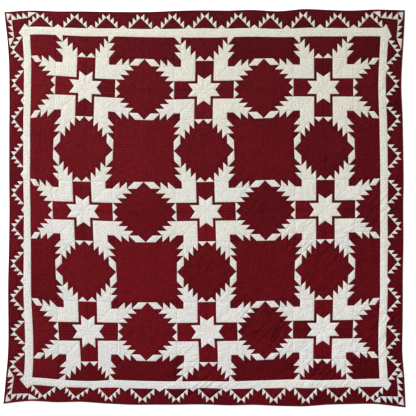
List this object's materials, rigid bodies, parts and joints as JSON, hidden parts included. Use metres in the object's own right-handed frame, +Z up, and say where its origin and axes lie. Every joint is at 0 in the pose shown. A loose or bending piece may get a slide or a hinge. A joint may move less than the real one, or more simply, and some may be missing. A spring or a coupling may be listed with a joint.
{
  "type": "star quilt blanket",
  "caption": "Flat square cotton quilt, pieced in red and white feathered stars inside a white strip and a toothed border, with a narrow bound edge.",
  "frame": {"origin": "under the middle of the quilt's box, on the surface it lies on", "axes": "+Z up out of the pieced face, +Y towards the quilt's top edge, +X to the right seen from above"},
  "size_m": [1.9382, 1.9204, 0.0055],
  "materials": {
    "red_cotton": "matte plain-woven cotton, hand quilted",
    "white_cotton": "matte plain-woven cotton, slightly aged, hand quilted",
    "binding_cotton": "matte cotton binding, machine-stitched"
  },
  "bodies": {
    "root": {"quilt_sheet": "red_cotton", "binding_top": "binding_cotton", "binding_bottom": "binding_cotton", "binding_left": "binding_cotton", "binding_right": "binding_cotton"}
  },
  "joints": []
}
